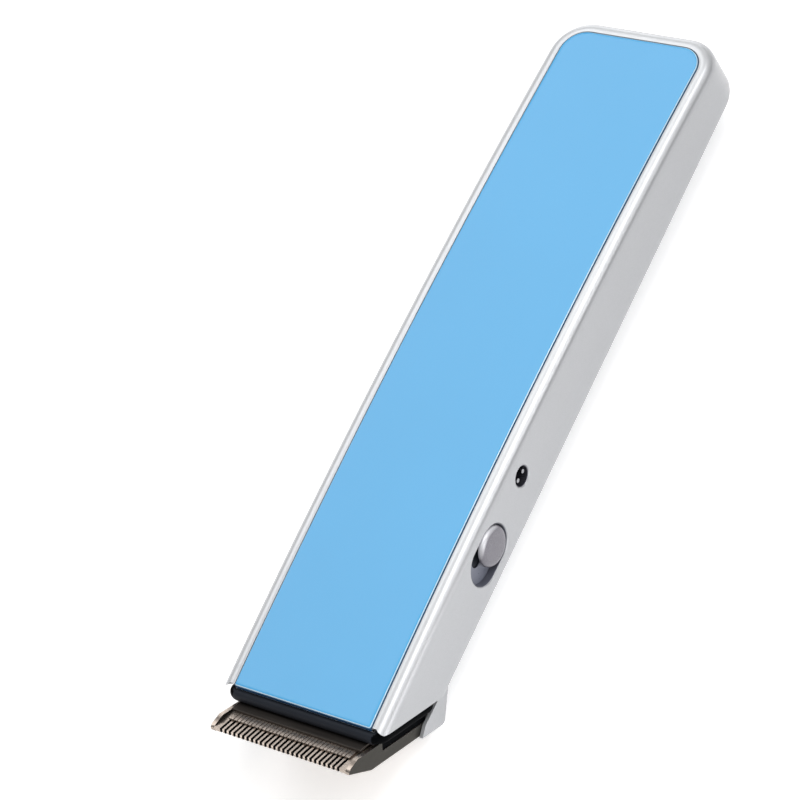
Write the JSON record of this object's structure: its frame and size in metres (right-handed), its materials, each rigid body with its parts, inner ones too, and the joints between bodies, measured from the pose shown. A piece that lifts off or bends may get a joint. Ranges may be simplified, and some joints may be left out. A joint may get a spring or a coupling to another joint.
{
  "type": "cordless hair clipper",
  "caption": "Cordless hair clipper: long flat case with a bowed front panel, slanted toothed blade, side slide switch and charging inlet.",
  "frame": {"origin": "below the middle of the whole clipper, at the height of the lowest point of the heel behind the blade", "axes": "+Y along the case from the blade to the tail, +Z out of the front panel, +X towards the side with the switch and the charging inlet"},
  "size_m": [0.0365, 0.1562, 0.021],
  "materials": {
    "case_silver": "silver metallic lacquer, satin",
    "panel_blue": "high gloss, plain light blue",
    "holder_black": "smooth moulded black",
    "blade_steel": "ground and polished",
    "spring_steel": "blackened sheet",
    "screw_steel": "bright plated",
    "follower_white": "natural acetal",
    "can_steel": "nickel-plated drawn can",
    "bell_black": "moulded",
    "bush_bronze": "sintered bronze",
    "magnet_ferrite": "sintered ferrite",
    "armature_steel": "laminations, wound",
    "contact_brass": "plated",
    "contact_steel": "plated",
    "board_green": "glass-fibre board",
    "socket_black": "moulded",
    "knob_grey": "satin grey",
    "component_black": "moulded component",
    "cell_sleeve": "plain green sleeve over the can",
    "tab_nickel": "nickel strip",
    "pad_foam": "closed-cell foam",
    "lead_red": "insulated lead",
    "lead_black": "insulated lead"
  },
  "bodies": {
    "housing": {"main_housing": "case_silver", "front_panel": "panel_blue", "rear_cover": "case_silver", "housing_screws": "screw_steel", "blade_holder": "holder_black", "fixed_blade": "blade_steel", "blade_screws": "screw_steel", "pressure_plate": "spring_steel", "motor_can": "can_steel", "motor_end_bell": "bell_black", "motor_terminals": "contact_brass", "front_bush": "bush_bronze", "rear_bush": "bush_bronze", "motor_magnets": "magnet_ferrite", "motor_brushes": "contact_brass", "motor_cradle": "holder_black", "cradle_screws": "screw_steel", "slide_switch_body": "component_black", "switch_pins": "contact_steel", "switch_recess": "bell_black", "charge_socket": "socket_black", "charge_pins": "contact_steel", "circuit_board": "board_green", "board_screws": "screw_steel", "charge_diode": "component_black", "charge_resistor": "component_black", "smoothing_capacitor": "component_black", "battery_cell": "cell_sleeve", "positive_tab": "tab_nickel", "negative_tab": "tab_nickel", "battery_pad": "pad_foam", "motor_lead_red": "lead_red", "motor_lead_black": "lead_black", "battery_lead_red": "lead_red", "battery_lead_black": "lead_black"},
    "rotor": {"motor_shaft": "screw_steel", "armature": "armature_steel", "commutator": "contact_brass", "eccentric_cam": "follower_white"},
    "cutter": {"cutter_blade": "blade_steel", "cutter_follower": "follower_white", "follower_rivets": "contact_brass"},
    "switch": {"switch_knob": "knob_grey", "slide_switch_lever": "bell_black"}
  },
  "joints": [
    {"name": "rotor_spin", "type": "hinge", "parent": "housing", "child": "rotor", "pos_m": [0, -0.04427, 0.01221], "axis": [0, 1, 0], "continuous": true},
    {"name": "cutter_slide", "type": "slide", "parent": "housing", "child": "cutter", "axis": [1, 0, 0], "range_m": [-0.0009, 0.0009]},
    {"name": "switch_slide", "type": "slide", "parent": "housing", "child": "switch", "axis": [0, -1, 0], "range_m": [0, 0.0036]}
  ]
}
